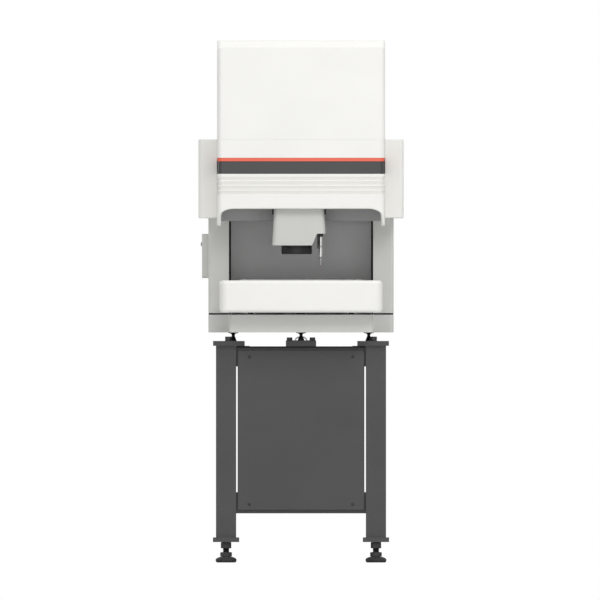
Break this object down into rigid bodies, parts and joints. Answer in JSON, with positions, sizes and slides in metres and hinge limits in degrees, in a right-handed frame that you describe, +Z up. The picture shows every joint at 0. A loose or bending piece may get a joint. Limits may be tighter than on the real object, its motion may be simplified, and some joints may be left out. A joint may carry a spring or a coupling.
{
  "type": "vision measuring machine",
  "caption": "Bridge-type vision measuring machine with a moving glass stage, cross-travelling zoom optics, a touch probe and a levelling steel stand.",
  "frame": {"origin": "on the floor, under the middle of the machine's outline", "axes": "+X to the operator's right, +Y away from the operator, +Z up"},
  "size_m": [0.6094, 0.77, 1.55],
  "materials": {
    "stand_paint": "satin charcoal powder coat",
    "unit_paint": "fine textured grey paint",
    "dark_steel": "blackened steel",
    "foot_rubber": "matt black",
    "bed_paint": "satin warm grey paint on casting",
    "panel_grey": "satin mid grey",
    "cover_white": "fine textured off-white moulding",
    "trim_dark": "satin dark grey",
    "trim_red": "satin vermilion",
    "rear_paint": "off-white powder coat",
    "inlet_black": "matt black",
    "guide_steel": "ground steel",
    "screw_steel": "polished",
    "drive_black": "black anodised",
    "table_metal": "grey anodised",
    "frame_dark": "dark anodised",
    "stage_pane": "polished float glass",
    "light_panel": "opal diffuser",
    "slide_dark": "dark paint",
    "head_grey": "light grey moulding",
    "optics_black": "black anodised",
    "probe_silver": "satin",
    "stylus_steel": "polished",
    "switch_paint": "satin warm grey",
    "button_grey": "satin grey"
  },
  "bodies": {
    "machine": {"front_legs": "stand_paint", "rear_legs": "stand_paint", "cross_rails": "stand_paint", "side_rails": "stand_paint", "front_panel": "stand_paint", "control_unit": "unit_paint", "lock_nuts": "dark_steel", "support_block": "stand_paint", "support_jacks": "dark_steel", "support_bolts": "dark_steel", "bed": "bed_paint", "column_right": "bed_paint", "column_left": "bed_paint", "rear_panel": "panel_grey", "x_beam": "bed_paint", "beam_cover": "panel_grey", "upper_cover": "cover_white", "top_cap": "cover_white", "front_fascia": "cover_white", "dark_band": "trim_dark", "red_stripe": "trim_red", "wing_right": "cover_white", "wing_left": "cover_white", "rear_cover": "rear_paint", "power_inlet": "inlet_black", "y_rails": "guide_steel", "y_drive": "drive_black", "x_rails": "guide_steel", "x_drive": "drive_black", "switch_box": "switch_paint"},
    "foot_front_left": {"pad_front_left": "foot_rubber"},
    "stem_front_left": {"stem_front_left": "dark_steel"},
    "foot_rear_left": {"pad_rear_left": "foot_rubber"},
    "stem_rear_left": {"stem_rear_left": "dark_steel"},
    "foot_front_right": {"pad_front_right": "foot_rubber"},
    "stem_front_right": {"stem_front_right": "dark_steel"},
    "foot_rear_right": {"pad_rear_right": "foot_rubber"},
    "stem_rear_right": {"stem_rear_right": "dark_steel"},
    "stage": {"y_trucks": "guide_steel", "stage_table": "table_metal", "stage_frame": "frame_dark", "stage_glass": "stage_pane", "stage_light": "light_panel", "stage_front_cover": "cover_white"},
    "y_screw": {"y_screw": "screw_steel"},
    "carriage": {"x_trucks": "guide_steel", "carriage_plate": "table_metal", "z_rails": "guide_steel", "z_drive": "drive_black"},
    "x_screw": {"x_screw": "screw_steel"},
    "head": {"z_slide": "slide_dark", "head_shell": "head_grey", "optics": "optics_black", "ring_light": "optics_black", "probe_bracket": "optics_black", "probe_body": "probe_silver"},
    "z_screw": {"z_screw": "screw_steel"},
    "gimbal": {"stylus_gimbal": "stylus_steel"},
    "stylus": {"stylus": "stylus_steel"},
    "button": {"power_button": "button_grey"}
  },
  "joints": [
    {"name": "level_front_left", "type": "slide", "parent": "machine", "child": "foot_front_left", "axis": [0, 0, 1], "range_m": [-0.025, 0]},
    {"name": "turn_front_left", "type": "hinge", "parent": "foot_front_left", "child": "stem_front_left", "pos_m": [-0.2225, -0.235, 0.03], "axis": [0, 0, 1], "range_deg": [-3601, 1]},
    {"name": "level_rear_left", "type": "slide", "parent": "machine", "child": "foot_rear_left", "axis": [0, 0, 1], "range_m": [-0.025, 0]},
    {"name": "turn_rear_left", "type": "hinge", "parent": "foot_rear_left", "child": "stem_rear_left", "pos_m": [-0.2225, 0.265, 0.03], "axis": [0, 0, 1], "range_deg": [-3601, 1]},
    {"name": "level_front_right", "type": "slide", "parent": "machine", "child": "foot_front_right", "axis": [0, 0, 1], "range_m": [-0.025, 0]},
    {"name": "turn_front_right", "type": "hinge", "parent": "foot_front_right", "child": "stem_front_right", "pos_m": [0.2225, -0.235, 0.03], "axis": [0, 0, 1], "range_deg": [-3601, 1]},
    {"name": "level_rear_right", "type": "slide", "parent": "machine", "child": "foot_rear_right", "axis": [0, 0, 1], "range_m": [-0.025, 0]},
    {"name": "turn_rear_right", "type": "hinge", "parent": "foot_rear_right", "child": "stem_rear_right", "pos_m": [0.2225, 0.265, 0.03], "axis": [0, 0, 1], "range_deg": [-3601, 1]},
    {"name": "stage_y", "type": "slide", "parent": "machine", "child": "stage", "axis": [0, 1, 0], "range_m": [-0.1, 0.1]},
    {"name": "y_screw_turn", "type": "hinge", "parent": "machine", "child": "y_screw", "pos_m": [0, 0, 0.7491], "axis": [0, 1, 0], "range_deg": [-3601, 3601]},
    {"name": "carriage_x", "type": "slide", "parent": "machine", "child": "carriage", "axis": [1, 0, 0], "range_m": [-0.119, 0.131]},
    {"name": "x_screw_turn", "type": "hinge", "parent": "machine", "child": "x_screw", "pos_m": [0, -0.0735, 1.133], "axis": [1, 0, 0], "range_deg": [-4285, 4717]},
    {"name": "head_z", "type": "slide", "parent": "carriage", "child": "head", "axis": [0, 0, 1], "range_m": [-0.03, 0.12]},
    {"name": "z_screw_turn", "type": "hinge", "parent": "carriage", "child": "z_screw", "pos_m": [-0.0128, -0.1155, 1.1], "axis": [0, 0, 1], "range_deg": [-1081, 4321]},
    {"name": "stylus_tilt", "type": "hinge", "parent": "head", "child": "gimbal", "pos_m": [0.0585, -0.2, 0.9002], "axis": [1, 0, 0], "range_deg": [-10, 10], "stiffness_Nm_per_rad": 0.002},
    {"name": "stylus_sway", "type": "hinge", "parent": "gimbal", "child": "stylus", "pos_m": [0.0585, -0.2, 0.9002], "axis": [0, 1, 0], "range_deg": [-10, 10], "stiffness_Nm_per_rad": 0.002},
    {"name": "button_press", "type": "slide", "parent": "machine", "child": "button", "axis": [1, 0, 0], "range_m": [0, 0.002], "stiffness_N_per_m": 600}
  ],
  "couplings": [
    {"joint": "y_screw_turn", "follows": "stage_y", "rad_per_m": 628.32},
    {"joint": "x_screw_turn", "follows": "carriage_x", "rad_per_m": 628.32},
    {"joint": "z_screw_turn", "follows": "head_z", "rad_per_m": 628.32},
    {"joint": "turn_front_left", "follows": "level_front_left", "rad_per_m": 2513.3},
    {"joint": "turn_rear_left", "follows": "level_rear_left", "rad_per_m": 2513.3},
    {"joint": "turn_front_right", "follows": "level_front_right", "rad_per_m": 2513.3},
    {"joint": "turn_rear_right", "follows": "level_rear_right", "rad_per_m": 2513.3}
  ]
}
